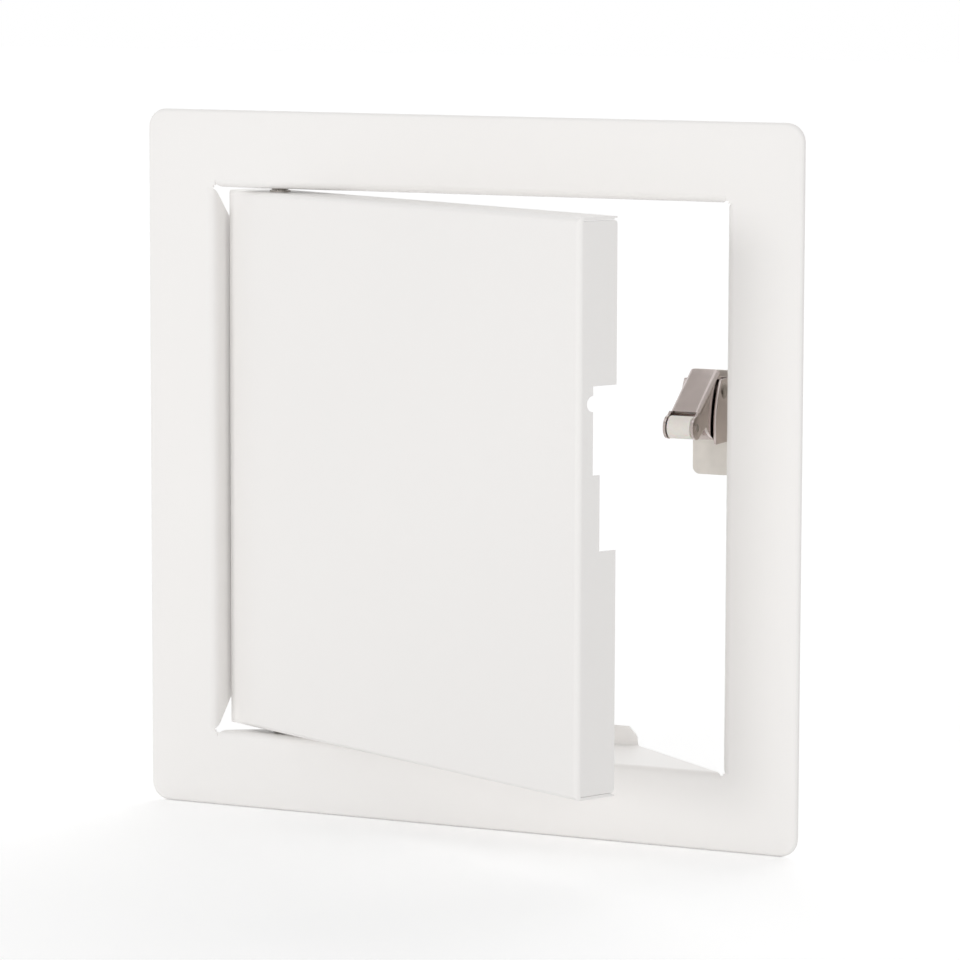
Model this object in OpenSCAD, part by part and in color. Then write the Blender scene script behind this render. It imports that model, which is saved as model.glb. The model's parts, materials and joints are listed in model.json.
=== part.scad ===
// Access panel for a wall or ceiling: a folded steel frame, a hinged steel door and a roller latch.
// X runs to the right, Y runs back into the wall and Z runs up, in millimetres.
// The origin is the middle of the panel on the wall's surface.

/* [Frame] */
// Outer side of the square flange
flange_size = 190; // [176:1:240]
// Outer corner radius of the flange
flange_corner_r = 5; // [4.5:0.1:12]
// Outside of the folded collar, the nominal cut-out
collar_size = 150; // [140:1:164]
// Depth of the collar behind the flange's front
collar_depth = 42; // [40:0.5:52]
// Inward lip along the back of each collar flap
lip = 5; // [3:0.1:8]
// Thickness of the coated sheet steel
sheet = 0.8; // [0.6:0.05:1]
// Inside radius of the folds from the flange to the flaps
fold_r = 1.5; // [1:0.1:2.4]
// Inside radius of the folds from the flaps to their lips
lip_fold_r = 1; // [0.6:0.1:1.6]
// Angle at which the upper and lower flaps lean outwards
flap_lean = 3.5; // [0:0.5:5]
// How far the roots of the flaps run past the opening's corners
flap_spread = 0.3; // [0.2:0.05:0.5]
// Depth of the pointed relief at the opening's corners
corner_tip = 0.5; // [0.3:0.05:0.8]
// Height of the flange's front above the wall
front = 1.9; // [1.6:0.05:1.95]
// Angle at which the flange's border slopes to the wall
border_angle = 12; // [11:0.5:20]
// Radius where the border turns back to the wall
edge_r = 1.2; // [1.1:0.05:1.6]
// Diameter of the fixing holes in the side flaps
fixing_hole_d = 4.5; // [3:0.1:5.5]
// Spacing of the two fixing holes in a flap
fixing_spacing = 36; // [24:1:44]
// Distance of the fixing holes behind the flange's front
fixing_setback = 34.5; // [34:0.5:36]

/* [Door] */
// Gap round the closed door
door_gap = 1; // [0.9:0.05:1.4]
// Depth of the door's folded edges
door_depth = 12.6; // [11.6:0.2:14]
// Inside radius of the door's folds
door_fold_r = 0.8; // [0.4:0.1:1.4]
// Slit between neighbouring folded edges
corner_slit = 0.15; // [0.1:0.05:0.8]
// Corner radius at the free ends of the side edges
edge_corner_r = 1; // [0.5:0.25:4]
// Angle at which the door stands open
door_open = 25.7; // [5:0.1:80]

/* [Hinge] */
// Distance of the pivot from the door's hinge edge
pivot_inset = 15.7; // [15.2:0.1:24]
// Distance of the pivot behind the door's face
pivot_setback = 6.2; // [5.8:0.1:6.3]
// Diameter of the hinge pins
hinge_pin_d = 3; // [2.5:0.1:3.4]
// Diameter of the pins' shoulders and heads
hinge_shoulder_d = 4.6; // [4.4:0.1:5.4]
// Thickness of the hinge washers
washer_t = 0.4; // [0.3:0.05:0.5]
// Outer diameter of the hinge washers
washer_d = 5.6; // [5:0.1:7]
// Free play along the hinge pins
hinge_play = 0.15; // [0.1:0.05:0.3]
// Length of the drawn collar round the door's pivot hole
pivot_collar = 1.6; // [1:0.1:3]
// Length of pin beyond the drawn collar
pin_end = 0.6; // [0.4:0.1:2]

/* [Latch bracket] */
// Height of the middle of the latch bracket
latch_z = 9.2; // [0:0.2:14]
// Height of the bracket's leg on the flap
bracket_h = 38; // [37:0.5:42]
// Thickness of the bracket
bracket_t = 1.2; // [1:0.05:1.2]
// Reach of the bracket's plate from the flap
bracket_reach = 20.6; // [20.4:0.1:24]
// Height of the bracket's plate
plate_h = 28; // [26:0.2:29]
// Corner radius at the foot of the plate
plate_corner_r = 2; // [1:0.25:5]
// Distance of the plate's front behind the flange's front
plate_setback = 28.9; // [28.5:0.1:30]
// Height of the step in the leg above its foot
step_h = 19.3; // [16:0.1:22]
// How far the leg's lower part stands back from its upper part
step_back = 2.3; // [1:0.1:4]
// Clearance between the bracket's leg and the door's notch
notch_gap = 0.8; // [0.5:0.1:1.5]
// Part of the door's edge left beside the upper notch
notch_land = 4.9; // [4:0.1:5.4]
// Room above the bracket in the door's notch
notch_head = 2.9; // [0.8:0.1:4]
// Radius of the round bite in the notch
bite_r = 2; // [1:0.25:2.5]
// Distance of the bite below the top of the notch
bite_drop = 4.4; // [3:0.2:8]
// Diameter of the latch's rivets
rivet_d = 3.2; // [2.4:0.1:3.6]
// Diameter of the rivets' heads
rivet_head_d = 5.2; // [4.6:0.1:5.6]
// Height of the rivets' heads
rivet_head_h = 0.8; // [0.5:0.05:0.9]

/* [Latch] */
// Thickness of the housing and the lever
latch_sheet = 0.7; // [0.6:0.05:0.9]
// Width of the lever
lever_w = 8.4; // [7.8:0.1:8.6]
// Distance of the lever's middle from the flap
lever_inset = 14.7; // [14.4:0.1:15]
// Outside radius of the lever's folds
lever_fold_r = 1.4; // [1.2:0.1:1.8]
// Side play of the lever in its housing
lever_play = 0.4; // [0.2:0.05:0.5]
// Drop of the lever's pin below the top of the bracket
pin_drop = 4.9; // [4.8:0.1:6]
// Distance of the lever's pin in front of the plate
pin_stand = 5.6; // [5.4:0.1:6.2]
// Diameter of the lever's pin
lever_pin_d = 3; // [2.4:0.1:3.2]
// Slope of the lever's top when it stands open
lever_slope = 36; // [35:0.2:37]
// Angle the lever turns through to hold the door
lever_travel = 12; // [11:0.5:14]
// Distance from the pin to the roller along the lever
roller_along = 18; // [17.8:0.05:18.3]
// Height of the roller above the pin across the lever
roller_up = 2.8; // [2.6:0.1:3]
// Diameter of the roller
roller_d = 6; // [5.6:0.1:6.1]
// Diameter of the roller's axle
axle_d = 2; // [1.6:0.1:2.6]
// Radius of the rounded tip of the lever's walls
tip_r = 3.1; // [3.1:0.05:3.4]
// Radius of the lever's curved walls about the pin
wall_r = 13.2; // [12.6:0.1:13.4]
// Height of the lever's top above the pin
wall_up = 5.3; // [5:0.1:5.5]
// Length of the lever's top behind the pin
top_back = 2.3; // [2:0.1:2.6]
// Gap between the lever's top and the roller
top_gap = 1; // [0.5:0.1:1.6]
// Drop of the mouth's corner below the pin across the lever
mouth_drop = 1.2; // [1:0.1:1.6]
// Rounding of the roller's edges
roller_edge_r = 0.4; // [0.2:0.1:0.8]
// Radius of the cheeks' front edge
cheek_r = 21; // [18:0.5:26]
// Reach of the cheeks in front of the pin
cheek_reach = 6; // [5:0.1:6.2]
// Height of the cheeks above the pin
cheek_up = 3.2; // [3:0.1:4]
// Depth of the cheeks below the pin
cheek_down = 13.7; // [13.4:0.1:15]
// How far the left cheek reaches below the lever's pin, behind the lever
left_cheek_down = 10.5; // [8:0.1:13]
// Depth of the middle of the cheeks' front edge below the pin
cheek_middle = 9; // [8:0.1:10]
// Diameter of the heads of the lever's pin
lever_head_d = 4.4; // [4:0.1:5]
// Wire of the lever's spring
wire_d = 0.7; // [0.5:0.05:0.8]
// Turns of the lever's spring
coil_turns = 4; // [2:1:4]
// Room between the lever's pin and its spring
coil_room = 0.45; // [0.3:0.05:0.6]
// Distance below the pin at which the spring's rear leg rests on the housing
rear_leg = 5.5; // [4:0.25:6]
// Distance in front of the pin at which the spring's front leg lifts the lever
front_leg = 7.5; // [6:0.25:9]

/* [Strike] */
// Width of the strike's tongue
strike_w = 3.6; // [3:0.1:3.8]
// Thickness of the strike
strike_t = 1.2; // [1:0.1:1.4]
// Width of the strike's foot on the door
foot_w = 12; // [8:0.5:16]
// Height of the strike's foot below the tongue
foot_h = 14; // [8:0.5:18]
// Top of the strike's tab below the lever's pin
strike_drop = 11.9; // [11.8:0.1:12.4]
// Height of the tab above the tongue's underside
tab_h = 6.8; // [6.2:0.1:7.2]
// Gap between the shut roller and the tab
tab_gap = 0.45; // [0.4:0.05:0.7]

/* [Hidden] */
$fn = 64;

paint = "#f1f0ee";
nickel = "#b9b2ad";
zinc = "#d8d4ce";
steel = "#8f8a86";
nylon = "#e9e6e1";

// Slack that carries a cut past the faces it opens
past = 0.5;
// Length of a cutting block that has to clear the whole panel
far = 2 * flange_size;
// How far a rounding runs past the faces it joins, so that it crosses them
graze = 0.01;
// Radial clearance of the turning fits
turn_fit = 0.05;

// Frame: heights are counted from the wall, and the flange's front is the highest
half = flange_size / 2;
collar_half = collar_size / 2;
opening_half = collar_half - sheet;
corner_centre = half - flange_corner_r;
border_start = half - edge_r + (edge_r - front * cos(border_angle)) / sin(border_angle);
border_run = border_start - corner_centre;
collar_back = front - collar_depth;
fold_out = fold_r + sheet;
lip_out = lip_fold_r + sheet;
flap_end = opening_half + flap_spread - collar_depth;

// Door
door_half = opening_half - door_gap;
door_fold_out = door_fold_r + sheet;
door_back = front - door_depth;
pivot_x = pivot_inset - door_half;
pivot_y = pivot_setback - front;
shoulder_h = door_gap - washer_t - hinge_play;
// How far the leaning flap has moved out where the pin's head sits on it
head_lift = (pivot_setback - fold_out + hinge_shoulder_d / 2) * tan(flap_lean);
pivot_bore_r = hinge_pin_d / 2 + turn_fit;

// Latch bracket, in the panel's own directions
bracket_top = latch_z + bracket_h / 2;
bracket_foot = latch_z - bracket_h / 2;
bracket_step = bracket_foot + step_h;
leg_x = opening_half - bracket_t;
leg_front = notch_land + notch_gap - front;
plate_front = plate_setback - front;
plate_left = opening_half - bracket_reach;
notch_top = bracket_top + notch_head;
notch_step = bracket_step - notch_gap;
notch_foot = bracket_foot - notch_gap;
bracket_rivet_places = [
    [plate_front / 3, bracket_top - bracket_h / 8],
    [plate_front / 2, bracket_foot + bracket_h / 8]
];

// Latch
housing_front = plate_front - latch_sheet;
housing_w = lever_w + 2 * lever_play + 2 * latch_sheet;
lever_x = opening_half - lever_inset;
housing_left = lever_x - housing_w / 2;
pin_y = plate_front - pin_stand;
pin_z = bracket_top - pin_drop;
lever_back = housing_front - pin_y - turn_fit - lever_play;
shut_slope = lever_slope + lever_travel;
top_end = roller_along - sqrt(pow(roller_d / 2, 2) - pow(wall_up - latch_sheet - roller_up, 2)) - top_gap;
mouth = [wall_r, -mouth_drop];
cheek_foot = pin_z - cheek_down;
cheek_top = pin_z + cheek_up;
housing_rivet_places = [cheek_foot + rivet_d, cheek_top - rivet_d];

// Lever's spring: its wire and its legs stand this far from what they bear on
spring_gap = 0.05;
coil_r = lever_pin_d / 2 + coil_room + wire_d / 2;
coil_pitch = wire_d + 2 * spring_gap;
coil_steps = 16;
wire_sides = 8;

// Strike: the tab stands behind the shut roller
strike_top = pin_z - strike_drop;
tongue_z = strike_top - tab_h;
shut_roller_y = pin_y - roller_along * cos(shut_slope) - roller_up * sin(shut_slope);
tab_front = shut_roller_y + roller_d / 2 + tab_gap;

// A flat shape made of a ring's quarter, as a fold seen from its end
module fold(inner_r, thick, turn) {
    rotate(turn)
        intersection() {
            difference() {
                circle(inner_r + thick);
                circle(inner_r);
            }
            square(inner_r + thick + past);
        }
}

module rounded_square(side_half, corner_r) {
    square([2 * side_half, 2 * (side_half - corner_r)], center = true);
    square([2 * (side_half - corner_r), 2 * side_half], center = true);
    for (x = [-1, 1], y = [-1, 1])
        translate([x, y] * (side_half - corner_r)) circle(corner_r);
}

// Stands a panel that lies face up on the wall's surface upright, facing forward
module upright() {
    rotate([90, 0, 0]) children();
}

// Places a flat shape, drawn with forward to the right, as a plate whose right face is at x
module side_plate(x, thick) {
    translate([x, pin_y, pin_z]) rotate([90, 0, -90]) linear_extrude(thick) children();
}

// The border's section, outwards from the panel's middle: it slopes back and turns to meet the wall
module border_section() {
    intersection() {
        translate([half - edge_r, 0]) rotate(-border_angle) {
            translate([-flange_corner_r, edge_r - sheet]) square([flange_corner_r, sheet]);
            difference() {
                circle(edge_r);
                circle(edge_r - sheet);
                translate([-2 * edge_r, -edge_r]) square(2 * edge_r);
            }
        }
        translate([corner_centre + border_run / 2, 0]) square([flange_corner_r, front]);
    }
}

// A flap's section: fold at the flange, flat wall, fold and lip, leaning outwards about the fold
module flap_section(lean) {
    wall = collar_depth - fold_out - lip_out;
    translate([collar_half + fold_r, front - fold_out]) {
        intersection() {
            rotate(lean)
                difference() {
                    circle(fold_out);
                    circle(fold_r);
                    translate([-2 * fold_out, -2 * fold_out]) square([4 * fold_out, 2 * fold_out]);
                }
            translate([-2 * fold_out, -2 * fold_out]) square([2 * fold_out, 4 * fold_out]);
        }
        rotate(lean) translate([-fold_out, -wall]) {
            square([sheet, wall]);
            translate([-lip_fold_r, 0]) fold(lip_fold_r, sheet, -90);
            translate([-lip, -lip_out]) square([lip - lip_fold_r, sheet]);
        }
    }
}

// One flap on the right-hand side, with its ends and its lip's ends cut at 45 degrees
module flap(lean) {
    root_end = opening_half + flap_spread;
    lip_root = opening_half - lip_fold_r + (collar_depth - fold_out) * tan(lean);
    lip_end = flap_end + lip_out;
    deep = collar_back - lip;
    deep_end = flap_end - lip;
    difference() {
        intersection() {
            rotate([90, 0, 0]) linear_extrude(2 * collar_half, center = true) flap_section(lean);
            rotate([90, 0, 90]) linear_extrude(half)
                polygon([[-root_end, front], [-deep_end, deep], [deep_end, deep], [root_end, front]]);
        }
        for (side = [0, 1])
            mirror([0, side, 0]) translate([lip_root, lip_end, collar_back - past])
                linear_extrude(lip_out + past)
                    polygon([[0, 0], [-2 * lip, -2 * lip], [-2 * lip, 2 * lip], [0, 2 * lip]]);
    }
}

module flange() {
    arm_half = opening_half - flap_spread / 3;
    translate([0, 0, front - sheet]) linear_extrude(sheet)
        difference() {
            rounded_square(border_start - border_run / 4, 3 * border_run / 4);
            for (turn = [0, 90])
                rotate(turn) square([2 * (collar_half + fold_r), 2 * arm_half], center = true);
            square(2 * (opening_half + corner_tip), center = true);
        }
    for (turn = [0:90:270])
        rotate(turn) {
            rotate([90, 0, 0]) linear_extrude(2 * corner_centre, center = true) border_section();
            translate([corner_centre, corner_centre, 0])
                rotate_extrude(angle = 90) translate([-corner_centre, 0]) border_section();
        }
}

module frame() {
    color(paint)
        difference() {
            upright() {
                flange();
                for (turn = [0, 180]) {
                    rotate(turn) flap(0);
                    rotate(turn + 90) flap(flap_lean);
                }
            }
            translate([pivot_x, pivot_y, -far / 2]) cylinder(h = far, d = hinge_pin_d);
            for (x = [-1, 1], z = [-1, 1])
                translate([x * opening_half, fixing_setback - front, z * fixing_spacing / 2])
                    rotate([0, 90, 0]) cylinder(h = 4 * sheet, d = fixing_hole_d, center = true);
            for (place = bracket_rivet_places)
                translate([opening_half, place[0], place[1]])
                    rotate([0, 90, 0]) cylinder(h = 4 * sheet, d = rivet_d, center = true);
        }
}

// The upper hinge pin: head outside the collar, shoulder inside it, and the pivot itself
module hinge_pin() {
    pivot_l = hinge_play + washer_t + sheet + pivot_collar + pin_end;
    translate([pivot_x, pivot_y, 0]) {
        translate([0, 0, collar_half + head_lift]) cylinder(h = sheet, d = hinge_shoulder_d);
        translate([0, 0, opening_half]) cylinder(h = head_lift + 3 * sheet / 2, d = hinge_pin_d);
        translate([0, 0, opening_half - shoulder_h]) cylinder(h = shoulder_h, d = hinge_shoulder_d);
        translate([0, 0, opening_half - shoulder_h - pivot_l]) cylinder(h = pivot_l, d = hinge_pin_d);
        translate([0, 0, opening_half - shoulder_h - pivot_l - pin_end])
            cylinder(h = pin_end, d1 = hinge_pin_d - pin_end, d2 = hinge_pin_d);
    }
}

module hinge_pin_upper() {
    color(steel) hinge_pin();
}

module hinge_pin_lower() {
    color(steel) mirror([0, 0, 1]) hinge_pin();
}

// Turns what is drawn on the shut door to where the door stands open
module opened() {
    translate([pivot_x, pivot_y, 0])
        rotate(-door_open)
            translate([-pivot_x, -pivot_y, 0]) children();
}

// Section of a tray: flat face with rounded edges, open towards the wall
module tray_section(side_half, top, round_r, back) {
    translate([-side_half, back]) square([2 * side_half, top - round_r - back]);
    translate([round_r - side_half, back]) square([2 * (side_half - round_r), top - back]);
    for (x = [-1, 1])
        translate([x * (side_half - round_r), top - round_r]) circle(round_r);
}

module tray_block(side_half, top, round_r, back) {
    intersection_for (turn = [0, 90])
        rotate(turn) rotate([90, 0, 0]) linear_extrude(2 * side_half, center = true)
            tray_section(side_half, top, round_r, back);
}

// The notch in the free edge that clears the latch bracket, drawn as height against depth
module notch_shape() {
    upper = front - notch_land;
    lower = upper - step_back;
    polygon([
        [notch_foot, door_back - past], [notch_foot, lower], [notch_step, lower], [notch_step, upper],
        [notch_top, upper], [notch_top, door_back - past]
    ]);
    translate([notch_top - bite_drop, upper]) circle(bite_r);
}

// Slit below a top edge and the rounded free corner of the side edge beside it
module edge_end_cut() {
    end = door_half - sheet - corner_slit;
    translate([end, door_back - past]) square([corner_slit, door_depth - door_fold_out + past]);
    translate([end - edge_corner_r, door_back])
        difference() {
            translate([0, -past]) square(edge_corner_r + past);
            translate([0, edge_corner_r]) circle(edge_corner_r);
            translate([-past, edge_corner_r]) square(edge_corner_r + 2 * past);
        }
}

module door_leaf() {
    color(paint)
        opened()
            difference() {
                union() {
                    upright()
                        difference() {
                            tray_block(door_half, front, door_fold_out, door_back);
                            tray_block(door_half - sheet, front - sheet, door_fold_r, door_back - past);
                            for (x = [-1, 1])
                                translate([x * (door_half - sheet / 2), 0, 0])
                                    rotate([90, 0, 90]) linear_extrude(sheet + past, center = true) {
                                        edge_end_cut();
                                        mirror([1, 0]) edge_end_cut();
                                    }
                            translate([door_half - sheet - past, 0, 0])
                                rotate([90, 0, 90]) linear_extrude(sheet + 2 * past) notch_shape();
                        }
                    for (side = [0, 1])
                        mirror([0, 0, side]) translate([pivot_x, pivot_y, door_half - sheet - pivot_collar])
                            cylinder(h = pivot_collar + sheet / 2, r = pivot_bore_r + sheet);
                }
                translate([pivot_x, pivot_y, -far / 2]) cylinder(h = far, r = pivot_bore_r);
            }
}

module hinge_washer() {
    opened() translate([pivot_x, pivot_y, door_half])
        difference() {
            cylinder(h = washer_t, d = washer_d);
            translate([0, 0, -past]) cylinder(h = washer_t + 2 * past, r = pivot_bore_r);
        }
}

module hinge_washer_upper() {
    color(steel) hinge_washer();
}

module hinge_washer_lower() {
    color(steel) mirror([0, 0, 1]) hinge_washer();
}

// A rivet along Z whose head sits above zero and whose shank goes down through the plates
module rivet(plates) {
    cap_r = (pow(rivet_head_d / 2, 2) + pow(rivet_head_h, 2)) / (2 * rivet_head_h);
    translate([0, 0, -plates]) cylinder(h = plates, d = rivet_d);
    intersection() {
        translate([0, 0, rivet_head_h - cap_r]) sphere(cap_r);
        cylinder(h = 2 * rivet_head_h, d = rivet_head_d);
    }
    translate([0, 0, -plates - rivet_head_h]) cylinder(h = rivet_head_h, d = rivet_head_d);
}

// The angle: a stepped leg on the flap, a fold at the back and a plate that faces forward
module latch_bracket() {
    fold_in = bracket_t;
    plate_foot = bracket_top - plate_h;
    color(zinc)
        difference() {
            union() {
                translate([leg_x, 0, 0]) rotate([90, 0, 90]) linear_extrude(bracket_t) {
                    translate([leg_front, bracket_step])
                        square([plate_front - fold_in - leg_front, bracket_top - bracket_step]);
                    translate([leg_front + step_back, bracket_foot])
                        square([plate_front - fold_in - leg_front - step_back, bracket_h - past]);
                }
                translate([0, 0, plate_foot]) linear_extrude(plate_h) {
                    translate([leg_x - fold_in, plate_front - fold_in]) fold(fold_in, bracket_t, 0);
                }
                translate([0, plate_front + bracket_t, 0]) rotate([90, 0, 0]) linear_extrude(bracket_t) {
                    translate([plate_left + plate_corner_r, plate_foot])
                        square([leg_x - fold_in - plate_left - plate_corner_r, plate_h]);
                    translate([plate_left, plate_foot + plate_corner_r])
                        square([2 * plate_corner_r, plate_h - plate_corner_r]);
                    translate([plate_left, plate_foot] + [1, 1] * plate_corner_r) circle(plate_corner_r);
                }
            }
            for (place = bracket_rivet_places)
                translate([leg_x, place[0], place[1]])
                    rotate([0, 90, 0]) cylinder(h = 4 * bracket_t, d = rivet_d, center = true);
            for (z = housing_rivet_places)
                translate([lever_x, plate_front, z])
                    rotate([90, 0, 0]) cylinder(h = 4 * bracket_t, d = rivet_d, center = true);
        }
}

module bracket_rivets() {
    color(steel)
        for (place = bracket_rivet_places)
            translate([leg_x, place[0], place[1]]) rotate([0, -90, 0]) rivet(bracket_t + sheet);
}

// A cheek's outline about the lever's pin: its front edge is an arc
module cheek_shape(down) {
    intersection() {
        translate([cheek_reach - cheek_r, -cheek_middle]) circle(cheek_r);
        translate([pin_y - housing_front - latch_sheet / 2, -down])
            square([cheek_r, cheek_up + down]);
    }
}

module latch_housing() {
    color(nickel)
        difference() {
            union() {
                side_plate(housing_left + latch_sheet, latch_sheet) cheek_shape(left_cheek_down);
                side_plate(housing_left + housing_w, latch_sheet) cheek_shape(cheek_down);
                translate([housing_left, housing_front, cheek_foot])
                    cube([housing_w, latch_sheet, cheek_top - cheek_foot]);
            }
            translate([housing_left - past, pin_y, pin_z])
                rotate([0, 90, 0]) cylinder(h = housing_w + 2 * past, d = lever_pin_d);
            for (z = housing_rivet_places)
                translate([lever_x, housing_front, z])
                    rotate([90, 0, 0]) cylinder(h = 4 * latch_sheet, d = rivet_d, center = true);
        }
}

module housing_rivets() {
    color(steel)
        for (z = housing_rivet_places)
            translate([lever_x, housing_front, z]) rotate([90, 0, 0]) rivet(latch_sheet + bracket_t);
}

// The lever's pin, with a head on the outside of each cheek
module lever_pin() {
    head_h = latch_sheet / 2;
    color(steel)
        translate([housing_left, pin_y, pin_z]) rotate([0, 90, 0]) {
            cylinder(h = housing_w, d = lever_pin_d);
            translate([0, 0, -head_h]) cylinder(h = head_h, d = lever_head_d);
            translate([0, 0, housing_w]) cylinder(h = head_h, d1 = lever_head_d, d2 = lever_pin_d);
        }
}

// A lever wall in the lever's own frame: along its top to the right, away from the pin upwards
module lever_wall() {
    roller = [roller_along, roller_up];
    gap = roller - mouth;
    swing = atan2(gap[1], gap[0]) - asin(tip_r / norm(gap));
    reach = sqrt(pow(norm(gap), 2) - pow(tip_r, 2));
    intersection() {
        circle(wall_r);
        translate([-top_back, -far]) square([far, far + wall_up]);
        rotate(shut_slope) translate([-lever_back, -far / 2]) square(far);
    }
    polygon([[wall_r / 2, wall_up], [roller_along, wall_up], roller, mouth, [wall_r / 2, 0]]);
    translate(mouth) rotate(swing) {
        square([reach, tip_r]);
        translate([reach, tip_r]) circle(tip_r);
    }
}

// What lies outside the rounded fold between the lever's top and its right wall, seen along the lever
module lever_edge_cut() {
    difference() {
        translate([wall_up - lever_fold_r, -past]) square(lever_fold_r + past);
        translate([wall_up - lever_fold_r, lever_fold_r]) circle(lever_fold_r + graze);
    }
}

// The lever: a channel that is open below, whose walls carry the roller in front of its top
module latch_lever() {
    right = lever_x + lever_w / 2;
    color(nickel)
        difference() {
            union() {
                for (x = [right, right - lever_w + latch_sheet])
                    side_plate(x, latch_sheet) rotate(-lever_slope) lever_wall();
                side_plate(right, lever_w) rotate(-lever_slope)
                    translate([-top_back, wall_up - latch_sheet]) square([top_end + top_back, latch_sheet]);
            }
            translate([right, pin_y, pin_z]) rotate([90, 0, -90]) rotate(-lever_slope)
                for (side = [0, 1])
                    translate([-far, 0, side * lever_w]) mirror([0, 0, side]) rotate([90, 0, 90])
                        linear_extrude(far + top_end) lever_edge_cut();
            side_plate(right + past, lever_w + 2 * past) rotate(-lever_slope) {
                circle(lever_pin_d / 2 + turn_fit);
                translate([roller_along, roller_up]) circle(d = axle_d);
            }
        }
}

// The axle's ends stand just proud of the lever's walls
module roller_axle() {
    proud = lever_play / 2;
    color(steel)
        side_plate(lever_x + lever_w / 2 + proud, lever_w + 2 * proud)
            rotate(-lever_slope) translate([roller_along, roller_up]) circle(d = axle_d);
}

module catch_roller() {
    wide = lever_w - 2 * latch_sheet - lever_play;
    bore_r = axle_d / 2 + turn_fit;
    rim_r = roller_d / 2 - roller_edge_r;
    color(nylon)
        translate([lever_x, pin_y, pin_z]) rotate([lever_slope, 0, 0])
            translate([0, -roller_along, roller_up]) rotate([0, 90, 0]) rotate_extrude() {
                translate([bore_r, -wide / 2]) square([rim_r - bore_r, wide]);
                translate([bore_r, roller_edge_r - wide / 2])
                    square([roller_d / 2 - bore_r, wide - 2 * roller_edge_r]);
                for (y = [-1, 1])
                    translate([rim_r, y * (wide / 2 - roller_edge_r)]) circle(roller_edge_r);
            }
}

// A round wire swept along points that lie in planes across the lever's pin
module wire(points) {
    last = len(points) - 1;
    rings = [for (i = [0:last])
        let (
            ahead = points[min(i + 1, last)] - points[max(i - 1, 0)],
            tangent = ahead / norm(ahead),
            side = cross(tangent, [1, 0, 0]) / norm(cross(tangent, [1, 0, 0])),
            up = cross(side, tangent)
        )
        for (k = [0:wire_sides - 1])
            let (a = 360 * k / wire_sides)
            points[i] + wire_d / 2 * (cos(a) * side + sin(a) * up)
    ];
    walls = [for (i = [0:last - 1], k = [0:wire_sides - 1])
        let (n = (k + 1) % wire_sides, a = i * wire_sides, b = a + wire_sides)
        [a + k, b + k, b + n, a + n]
    ];
    first_cap = [for (k = [0:wire_sides - 1]) k];
    last_cap = [for (k = [wire_sides - 1:-1:0]) last * wire_sides + k];
    polyhedron(points = rings, faces = concat(walls, [first_cap, last_cap]));
}

// The coil runs round the pin from the leg on the housing's web to the leg under the lever's top
module lever_spring() {
    off = wire_d / 2 + spring_gap;
    under_top = wall_up - latch_sheet - off;
    along = [-cos(lever_slope), -sin(lever_slope)];
    across = [-sin(lever_slope), cos(lever_slope)];
    rear_end = [housing_front - pin_y - off, -rear_leg];
    front_end = front_leg * along + under_top * across;
    rear_angle = atan2(rear_end[1], rear_end[0]) + acos(coil_r / norm(rear_end));
    front_angle = 180 + lever_slope - atan2(under_top, front_leg) - acos(coil_r / norm(front_end));
    turns = coil_turns + (front_angle - rear_angle) / 360;
    steps = round(turns * coil_steps);
    side = turns * coil_pitch / 2;
    coil = [for (i = [0:steps])
        let (part = i / steps, a = rear_angle + 360 * turns * part)
        [side * (2 * part - 1), coil_r * cos(a), coil_r * sin(a)]
    ];
    color(steel) translate([lever_x, pin_y, pin_z])
        wire(concat([[-side, rear_end[0], rear_end[1]]], coil, [[side, front_end[0], front_end[1]]]));
}

// The strike's side view, with depth to the right and height upwards
module strike_section() {
    base = sheet - front;
    translate([base, tongue_z - foot_h]) square([strike_t, foot_h + strike_t]);
    translate([base, tongue_z]) square([tab_front + strike_t - base, strike_t]);
    translate([tab_front, tongue_z]) square([strike_t, tab_h]);
}

module strike() {
    color(paint)
        opened() {
            translate([lever_x, 0, 0]) rotate([90, 0, 90]) linear_extrude(strike_w, center = true)
                strike_section();
            translate([lever_x - foot_w / 2, sheet - front, tongue_z - foot_h])
                cube([foot_w, strike_t, foot_h - strike_t]);
        }
}

frame();
hinge_pin_upper();
hinge_pin_lower();
latch_bracket();
bracket_rivets();
latch_housing();
housing_rivets();
lever_pin();
lever_spring();
latch_lever();
roller_axle();
catch_roller();
door_leaf();
hinge_washer_upper();
hinge_washer_lower();
strike();
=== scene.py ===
# %% [markdown]
# # A white steel access panel
#
# The panel is a flanged steel frame with a hinged tray door and a small roller latch. Its solids come
# from the CAD model, which stays as it is. This lesson gives the sheet metal its soft edges, each
# material its finish, and the panel its studio light and camera.

# %% Load the CAD model as the fixed frame
import bmesh
import bpy
import json
import math
from mathutils import Matrix, Vector


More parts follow.
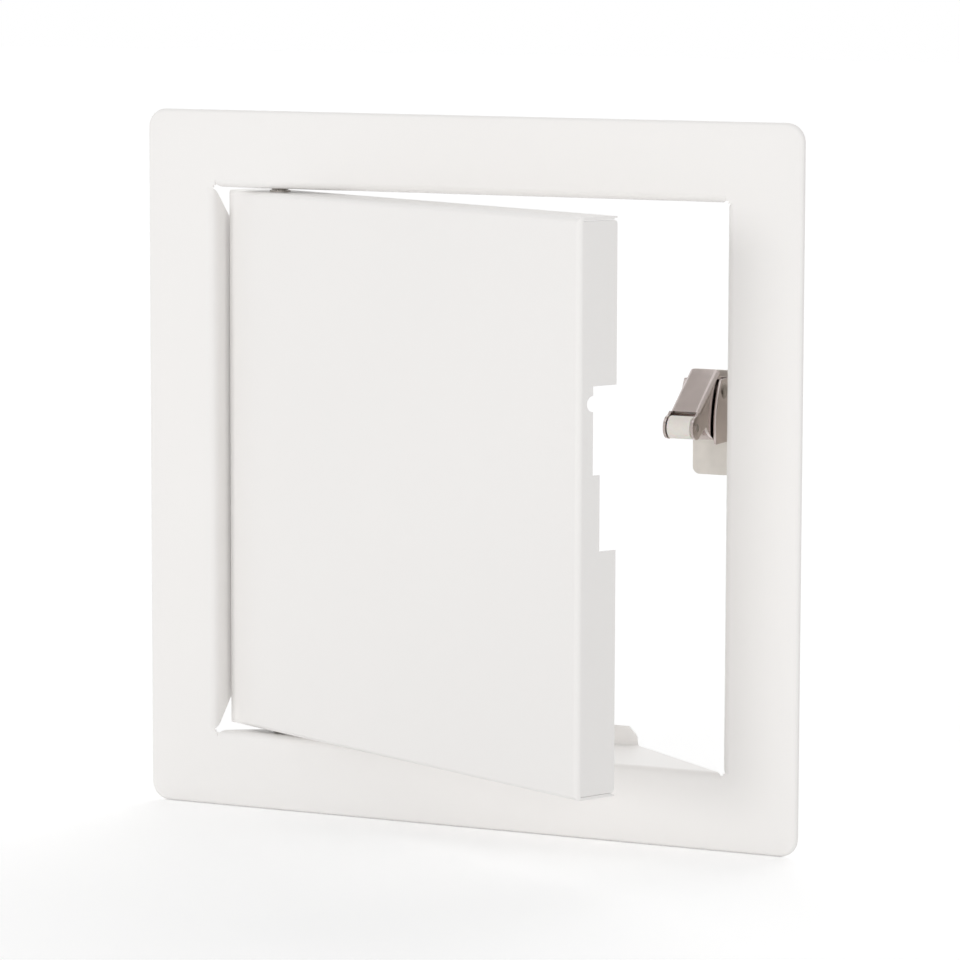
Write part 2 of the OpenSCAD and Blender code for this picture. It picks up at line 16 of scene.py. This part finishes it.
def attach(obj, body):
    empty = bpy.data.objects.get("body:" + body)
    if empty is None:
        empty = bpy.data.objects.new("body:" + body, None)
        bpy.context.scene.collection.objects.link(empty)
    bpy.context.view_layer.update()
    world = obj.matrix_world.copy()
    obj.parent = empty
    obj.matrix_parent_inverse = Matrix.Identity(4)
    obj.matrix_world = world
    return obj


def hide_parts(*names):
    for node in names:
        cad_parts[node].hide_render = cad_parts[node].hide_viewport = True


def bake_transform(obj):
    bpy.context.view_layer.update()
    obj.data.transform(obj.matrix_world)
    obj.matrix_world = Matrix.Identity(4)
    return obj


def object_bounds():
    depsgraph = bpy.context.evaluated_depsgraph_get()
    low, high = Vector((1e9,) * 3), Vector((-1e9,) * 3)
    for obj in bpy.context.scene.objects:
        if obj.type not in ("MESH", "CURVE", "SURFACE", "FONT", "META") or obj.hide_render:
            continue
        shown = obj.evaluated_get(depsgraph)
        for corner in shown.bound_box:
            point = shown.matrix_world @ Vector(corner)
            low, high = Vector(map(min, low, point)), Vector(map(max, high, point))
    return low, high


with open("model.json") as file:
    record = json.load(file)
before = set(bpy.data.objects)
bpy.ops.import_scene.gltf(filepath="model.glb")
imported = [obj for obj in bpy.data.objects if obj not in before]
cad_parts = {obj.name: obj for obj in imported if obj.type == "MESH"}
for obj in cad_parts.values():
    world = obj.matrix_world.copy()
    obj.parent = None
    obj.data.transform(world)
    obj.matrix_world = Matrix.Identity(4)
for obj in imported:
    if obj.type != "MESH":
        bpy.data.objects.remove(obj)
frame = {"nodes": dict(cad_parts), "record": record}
cad_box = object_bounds()
record = frame["record"]
slot_of = {part["node"]: part["material_slot"] for part in record["subparts"]}
body_of = {node: body for body, names in record["behaviour"]["bodies"].items() for node in names}
MM = 0.001

# %% [markdown]
# ## Helpers for materials
#
# A colour is easiest to read off a picture as sRGB hex, but shaders work in linear light, so one
# function turns the one into the other. Nodes could each be made by hand in four lines; small functions
# that add a node with its inputs, or a pattern that varies a finish, keep every material short enough
# to read. All patterns take the object's own coordinates, so that they stay on a piece that moves.


# %% Colours and nodes
def to_linear(hex_colour):
    """A linear colour with alpha from an sRGB hex value such as "#f0efed"."""
    channels = [int(hex_colour[i:i + 2], 16) / 255 for i in (1, 3, 5)]
    return [c / 12.92 if c <= 0.04045 else ((c + 0.055) / 1.055) ** 2.4 for c in channels] + [1.0]


def set_inputs(tree, node, inputs):
    """Sets a node's inputs: each is a constant, or the output socket that feeds it."""
    for name, value in inputs.items():
        if isinstance(value, bpy.types.NodeSocket):
            tree.links.new(value, node.inputs[name])
        else:
            node.inputs[name].default_value = value


def add_node(tree, kind, inputs=None, **settings):
    """Adds a node with its settings and inputs."""
    node = tree.nodes.new(kind)
    for name, value in settings.items():
        setattr(node, name, value)
    set_inputs(tree, node, inputs or {})
    return node


print("white in linear light:", [round(c, 3) for c in to_linear("#f0efed")])


# %% A new material and the patterns that vary it
def new_material(name):
    """A material, its node tree, its main shader and the object's own coordinates."""
    material = bpy.data.materials.new(name)
    material.use_nodes = True
    tree = material.node_tree
    place = add_node(tree, "ShaderNodeTexCoord")
    return material, tree, tree.nodes["Principled BSDF"], place.outputs["Object"]


def noise(tree, place, size_mm, **more):
    """A noise pattern that repeats about every size_mm."""
    inputs = {"Vector": place, "Scale": 1 / (size_mm * MM), **more}
    return add_node(tree, "ShaderNodeTexNoise", inputs).outputs["Fac"]


def spread(tree, pattern, least, most, middle=(0, 1)):
    """Stretches the middle range of a pattern so that it runs from least to most."""
    return add_node(tree, "ShaderNodeMapRange", {
        "Value": pattern, "From Min": middle[0], "From Max": middle[1],
        "To Min": least, "To Max": most}).outputs["Result"]


def tinted(tree, hex_colour, brightness):
    """A colour that a pattern makes lighter or darker."""
    return add_node(tree, "ShaderNodeHueSaturation", {
        "Value": brightness, "Color": to_linear(hex_colour)}).outputs["Color"]


def bump(tree, pattern, strength, deep_mm):
    """A surface direction that follows the heights of a pattern."""
    return add_node(tree, "ShaderNodeBump", {
        "Height": pattern, "Strength": strength, "Distance": deep_mm * MM}).outputs["Normal"]


print("patterns by", [helper.__name__ for helper in (noise, spread, tinted, bump)])

# %% [markdown]
# ## White powder coat
#
# The frame and the door are steel sheet, sprayed with dry powder that is baked to a smooth film. The
# film flows together but not quite flat, so it keeps a slight orange peel a couple of millimetres wide
# and a few hundredths of a millimetre deep. A plain white shader would look like paper; a low bump
# with a semi-gloss film over it gives the soft, slightly broken reflections of real coated sheet.

# %% Powder-coated steel: white, semi-gloss, with a slight orange peel
PEEL_MM, PEEL_DEEP_MM = 2.2, 0.03
CLOUD_MM = 70
coat, tree, shader, place = new_material("powder_coated_steel")
peel = noise(tree, place, PEEL_MM, Detail=1.5, Roughness=0.4)
cloud = noise(tree, place, CLOUD_MM, Detail=2.0)
set_inputs(tree, shader, {
    "Base Color": tinted(tree, "#f2f0ee", spread(tree, cloud, 0.975, 1.005)),
    "Roughness": spread(tree, cloud, 0.24, 0.36),
    "IOR": 1.5,
    "Normal": bump(tree, peel, 0.12, PEEL_DEEP_MM)})
materials = {"white_coated_steel": coat}
print("made", coat.name)

# %% [markdown]
# ## Plated and bright metal
#
# The latch is stamped from sheet and then nickel plated, which leaves a warm grey mirror over the
# faint lines of the rolling mill. Its bracket is zinc plated, which is paler and more milky. Pins and
# rivets are plain drawn steel, a little darker and rougher, and the spring is dark drawn wire. The
# four differ in colour, roughness and in the size of their lines, so one loop makes them from a short
# table of those facts: noise that is stretched along one axis stands for the drawn lines.

# %% Nickel plate, zinc plate, bright steel and spring wire: metals with drawn lines
metal_facts = {
    "nickel_plated_steel": {"colour": "#d0c6c3", "rough": (0.16, 0.22), "line_mm": 0.35, "deep_mm": 0.002},
    "zinc_plated_steel": {"colour": "#ece8e2", "rough": (0.38, 0.48), "line_mm": 0.5, "deep_mm": 0.003},
    "bright_steel": {"colour": "#b5afa9", "rough": (0.24, 0.36), "line_mm": 0.3, "deep_mm": 0.006},
    "spring_steel": {"colour": "#85807c", "rough": (0.3, 0.42), "line_mm": 0.25, "deep_mm": 0.006},
}
LINE_STRETCH = 12
STAIN_MM = 6
NOISE_MIDDLE = (0.3, 0.7)
for name, fact in metal_facts.items():
    metal, tree, shader, place = new_material(name + "_finish")
    drawn = add_node(tree, "ShaderNodeMapping", {"Vector": place, "Scale": (1, 1, 1 / LINE_STRETCH)})
    lines = noise(tree, drawn.outputs["Vector"], fact["line_mm"], Detail=3.0)
    stain = noise(tree, place, STAIN_MM, Detail=2.0)
    least_rough, most_rough = fact["rough"]
    set_inputs(tree, shader, {
        "Base Color": tinted(tree, fact["colour"], spread(tree, stain, 0.9, 1.03, NOISE_MIDDLE)),
        "Metallic": 1.0,
        "Roughness": spread(tree, lines, least_rough, most_rough, NOISE_MIDDLE),
        "Normal": bump(tree, lines, 0.25, fact["deep_mm"])})
    materials[name] = metal
    print("made", metal.name)

# %% [markdown]
# ## Nylon
#
# The roller at the lever's tip is moulded white nylon, so it runs quietly and without oil. Nylon lets
# a little light in before it scatters back, which softens its shading. A small amount of subsurface
# scattering with a satin surface shows that; a plain white plastic would look harder than it is.

# %% White nylon: moulded, satin, slightly translucent
GRAIN_MM, GRAIN_DEEP_MM = 0.5, 0.01
SCATTER_MM = 0.6
nylon, tree, shader, place = new_material("moulded_white_nylon")
grain = noise(tree, place, GRAIN_MM, Detail=2.0)
set_inputs(tree, shader, {
    "Base Color": tinted(tree, "#f0ece6", spread(tree, grain, 0.96, 1.0, NOISE_MIDDLE)),
    "Roughness": 0.42,
    "IOR": 1.53,
    "Subsurface Weight": 0.2,
    "Subsurface Scale": SCATTER_MM * MM,
    "Normal": bump(tree, grain, 0.1, GRAIN_DEEP_MM)})
materials["white_nylon"] = nylon
print("made", nylon.name)

# %% [markdown]
# ## Soft edges
#
# Sheet that has been punched, folded and coated has no knife edges: the coat and the press leave a
# rounding of one or two tenths of a millimetre, and that is what catches the light along an edge. A
# CAD solid comes with sharp edges, so a copy of its mesh is merged, its flat faces are joined again
# and its sharp edges are bevelled. The copy then stands for the solid, which stays behind it for the
# moving parts. A bevel modifier on the solid itself would round its triangles, not its edges. Rivets
# and pins get the same, on their outer edges alone, so that their shanks still fill their holes. The
# shading normals then follow the largest face at each corner, so that flat sheet stays flat up to its
# rounded edge.

# %% Open a copy of a CAD mesh, and put it into the scene
MERGE_MM = 0.0005
SHARP = math.radians(32)


def add_object(name, data):
    """Puts a new object into the scene."""
    thing = bpy.data.objects.new(name, data)
    bpy.context.scene.collection.objects.link(thing)
    return thing


def merged_copy(node_name, copy_name):
    """A copy of a CAD node's mesh, opened for editing with its doubled corners merged."""
    mesh = frame["nodes"][node_name].data.copy()
    mesh.name = copy_name
    bm = bmesh.new()
    bm.from_mesh(mesh)
    bmesh.ops.remove_doubles(bm, verts=bm.verts, dist=MERGE_MM * MM)
    return mesh, bm


def place_copy(mesh, bm):
    """Writes an edited copy back, smooth but for its sharp edges, and puts it into the scene."""
    bm.to_mesh(mesh)
    bm.free()
    mesh.shade_smooth()
    mesh.set_sharp_from_angle(angle=SHARP)
    return add_object(mesh.name, mesh)


print("edges are sharp above", round(math.degrees(SHARP)), "degrees")

# %% Bevelled copies of the sheet-metal pieces, rivets and pins
SHEET_EDGE_MM = {
    "frame": 0.14, "door_leaf": 0.16, "strike": 0.12, "latch_bracket": 0.14, "latch_housing": 0.14,
    "latch_lever": 0.14}
ROUND_EDGE_MM = {
    "bracket_rivets": 0.35, "housing_rivets": 0.35, "lever_pin": 0.12, "hinge_pin_upper": 0.15,
    "hinge_pin_lower": 0.15}
FLAT = math.radians(0.4)
BEVEL_STEPS = 2
ROUND_PROFILE = 0.5
LARGEST_FACE = 100
soft_pieces = {}
for name, edge_mm in {**SHEET_EDGE_MM, **ROUND_EDGE_MM}.items():
    mesh, bm = merged_copy(name, name + "_soft")
    bmesh.ops.dissolve_limit(bm, angle_limit=FLAT, verts=bm.verts, edges=bm.edges)
    sharp = [edge for edge in bm.edges if edge.is_manifold and edge.calc_face_angle() > SHARP]
    if name in ROUND_EDGE_MM:
        sharp = [edge for edge in sharp if edge.is_convex]
    bmesh.ops.bevel(
        bm, geom=sharp, offset=edge_mm * MM, affect="EDGES", segments=BEVEL_STEPS, profile=ROUND_PROFILE,
        material=-1, clamp_overlap=True)
    open_edges = sum(not edge.is_manifold for edge in bm.edges)
    piece = place_copy(mesh, bm)
    flat = piece.modifiers.new("flat_faces", "WEIGHTED_NORMAL")
    flat.weight = LARGEST_FACE
    flat.keep_sharp = True
    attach(piece, body_of[name])
    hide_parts(name)
    soft_pieces[name] = piece
    print("softened", name, "edges:", len(sharp), "faces:", len(mesh.polygons), "open edges:", open_edges)

# %% [markdown]
# ## A copy of the spring
#
# The torsion spring sits round the lever's pin. Its rear leg leans on the housing and its front leg
# goes with the lever, so each turn of the coil takes its share of the lever's motion. Here a merged,
# smoothly shaded copy stands for the rigid solid where the solid stands, and it does not wind with the
# lever.
# Shape keys could show the winding, but they would have to be set for every pose.

# %% A merged copy of the spring in place of the solid
spring = place_copy(*merged_copy("lever_spring", "lever_spring_wound"))
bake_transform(spring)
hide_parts("lever_spring")
soft_pieces["lever_spring"] = spring

# %% [markdown]
# ## Give each piece its material
#
# The CAD record already says which material slot each piece takes, so the solids and their copies are
# dressed by that list and nothing is named twice.

# %% Dress the CAD nodes and their copies
for name, piece in [*frame["nodes"].items(), *soft_pieces.items()]:
    piece.data.materials.clear()
    piece.data.materials.append(materials[slot_of[name]])
print("dressed", len(frame["nodes"]), "nodes and", len(soft_pieces), "copies")

# %% [markdown]
# ## Floor
#
# The panel stands on its lower edge on a pale floor that runs out of sight. The floor is matt, so that
# it catches the panel's soft shadow and gives light back to the undersides. Lit by itself it would
# come out a light grey; a little light of its own, which only the camera and shiny surfaces see,
# lifts it to the white of the picture without lighting the panel.

# %% A wide floor under the panel
FLOOR_HALF = 6.0
floor_height = cad_box[0][2]
mesh = bpy.data.meshes.new("floor")
bm = bmesh.new()
bmesh.ops.create_grid(bm, x_segments=1, y_segments=1, size=FLOOR_HALF)
bmesh.ops.translate(bm, vec=(0, 0, floor_height), verts=bm.verts)
bm.to_mesh(mesh)
bm.free()
floor = add_object("floor", mesh)
print("floor at", round(floor_height, 4), "m")


# %% White paper for the floor
def seen_ray(tree):
    """1 for what the camera sees, straight or in a shiny or clear surface, and 0 for what gives light."""
    ray = add_node(tree, "ShaderNodeLightPath")
    shiny = add_node(tree, "ShaderNodeMath", {
        0: ray.outputs["Is Camera Ray"], 1: ray.outputs["Is Glossy Ray"]}, operation="MAXIMUM")
    clear = add_node(tree, "ShaderNodeMath", {
        0: shiny.outputs[0], 1: ray.outputs["Is Transmission Ray"]}, operation="MAXIMUM")
    return clear.outputs[0]


FLOOR_LIFT = 0.26
PAPER_CLOUD_MM = 400
paper, tree, shader, place = new_material("white_backdrop_paper")
cloud = noise(tree, place, PAPER_CLOUD_MM)
lift = add_node(tree, "ShaderNodeMath", {0: seen_ray(tree), 1: FLOOR_LIFT}, operation="MULTIPLY")
set_inputs(tree, shader, {
    "Base Color": tinted(tree, "#f4f4f4", spread(tree, cloud, 0.99, 1.0)),
    "Roughness": 0.9,
    "Specular IOR Level": 0.1,
    "Emission Color": to_linear("#ffffff"),
    "Emission Strength": lift.outputs[0]})
floor.data.materials.append(paper)
print("made", paper.name)

# %% [markdown]
# ## Light
#
# The picture has catalogue light: white all round, with a lit backdrop behind the panel that shines
# through the opening onto the insides of the flaps and the back of the door. A plain white world gives
# the all-round part. What the camera and the shiny surfaces see of it is full white, while its light
# on the object is kept lower, so that the coat keeps its shades. Two soft boxes stand in front, one on
# each side, and a broad lamp stands for the lit backdrop. Shiny surfaces don't see the lamps
# themselves, which would leave hard white discs on the plated latch. Sun lamps were chosen over area
# lamps, because they light the whole floor evenly, and the floor stays white out to where it meets the
# world.

# %% A white world
AMBIENT = 0.62
world = bpy.data.worlds.new("studio")
bpy.context.scene.world = world
world.use_nodes = True
tree = world.node_tree
tree.nodes.clear()
backdrop = add_node(tree, "ShaderNodeBackground", {
    "Color": to_linear("#ffffff"), "Strength": spread(tree, seen_ray(tree), AMBIENT, 1.0)})
add_node(tree, "ShaderNodeOutputWorld", {"Surface": backdrop.outputs["Background"]})
print("world light", AMBIENT)

# %% Two soft boxes in front and a lamp behind
LAMPS = {
    "left_soft_box": {"level": 0.21, "angle": 18, "towards": (-0.4, -0.9, 0.12)},
    "right_soft_box": {"level": 0.17, "angle": 18, "towards": (0.5, -0.86, 0.12)},
    "backdrop_light": {"level": 0.46, "angle": 70, "towards": (-0.1, 0.92, 0.38)},
}
for name, fact in LAMPS.items():
    lamp = bpy.data.lights.new(name, "SUN")
    lamp.energy = fact["level"] * math.pi
    lamp.angle = math.radians(fact["angle"])
    stand = add_object(name, lamp)
    stand.visible_glossy = False
    stand.rotation_euler = Vector(fact["towards"]).to_track_quat("Z", "Y").to_euler()
    print("lamp", name, fact["level"])

# %% [markdown]
# ## Camera
#
# The picture was taken from the right and a little above with a long lens, so the panel's edges stay
# nearly parallel. The angles and the distance come from fitting a camera to the flange's corners.

# %% The camera at the picture's angle
IMAGE_PX = 960
FOCAL_PX = 4659.4
SENSOR_MM = 36.0
SIGHT_M = 50.0
CAMERA_MM = (518.25, -1110.97, 149.08)
YAW, PITCH, ROLL = (math.radians(a) for a in (24.84, 7.0, 0.16))
camera_data = bpy.data.cameras.new("camera")
camera_data.sensor_width = SENSOR_MM
camera_data.lens = FOCAL_PX * SENSOR_MM / IMAGE_PX
camera_data.clip_end = SIGHT_M
camera = add_object("camera", camera_data)
turn = (
    Matrix.Rotation(YAW, 4, "Z")
    @ Matrix.Rotation(math.pi / 2 - PITCH, 4, "X")
    @ Matrix.Rotation(ROLL, 4, "Z"))
camera.matrix_world = Matrix.Translation(Vector(CAMERA_MM) * MM) @ turn
bpy.context.scene.camera = camera
bpy.context.scene.view_settings.view_transform = "Standard"
print("lens", round(camera_data.lens, 1), "mm")
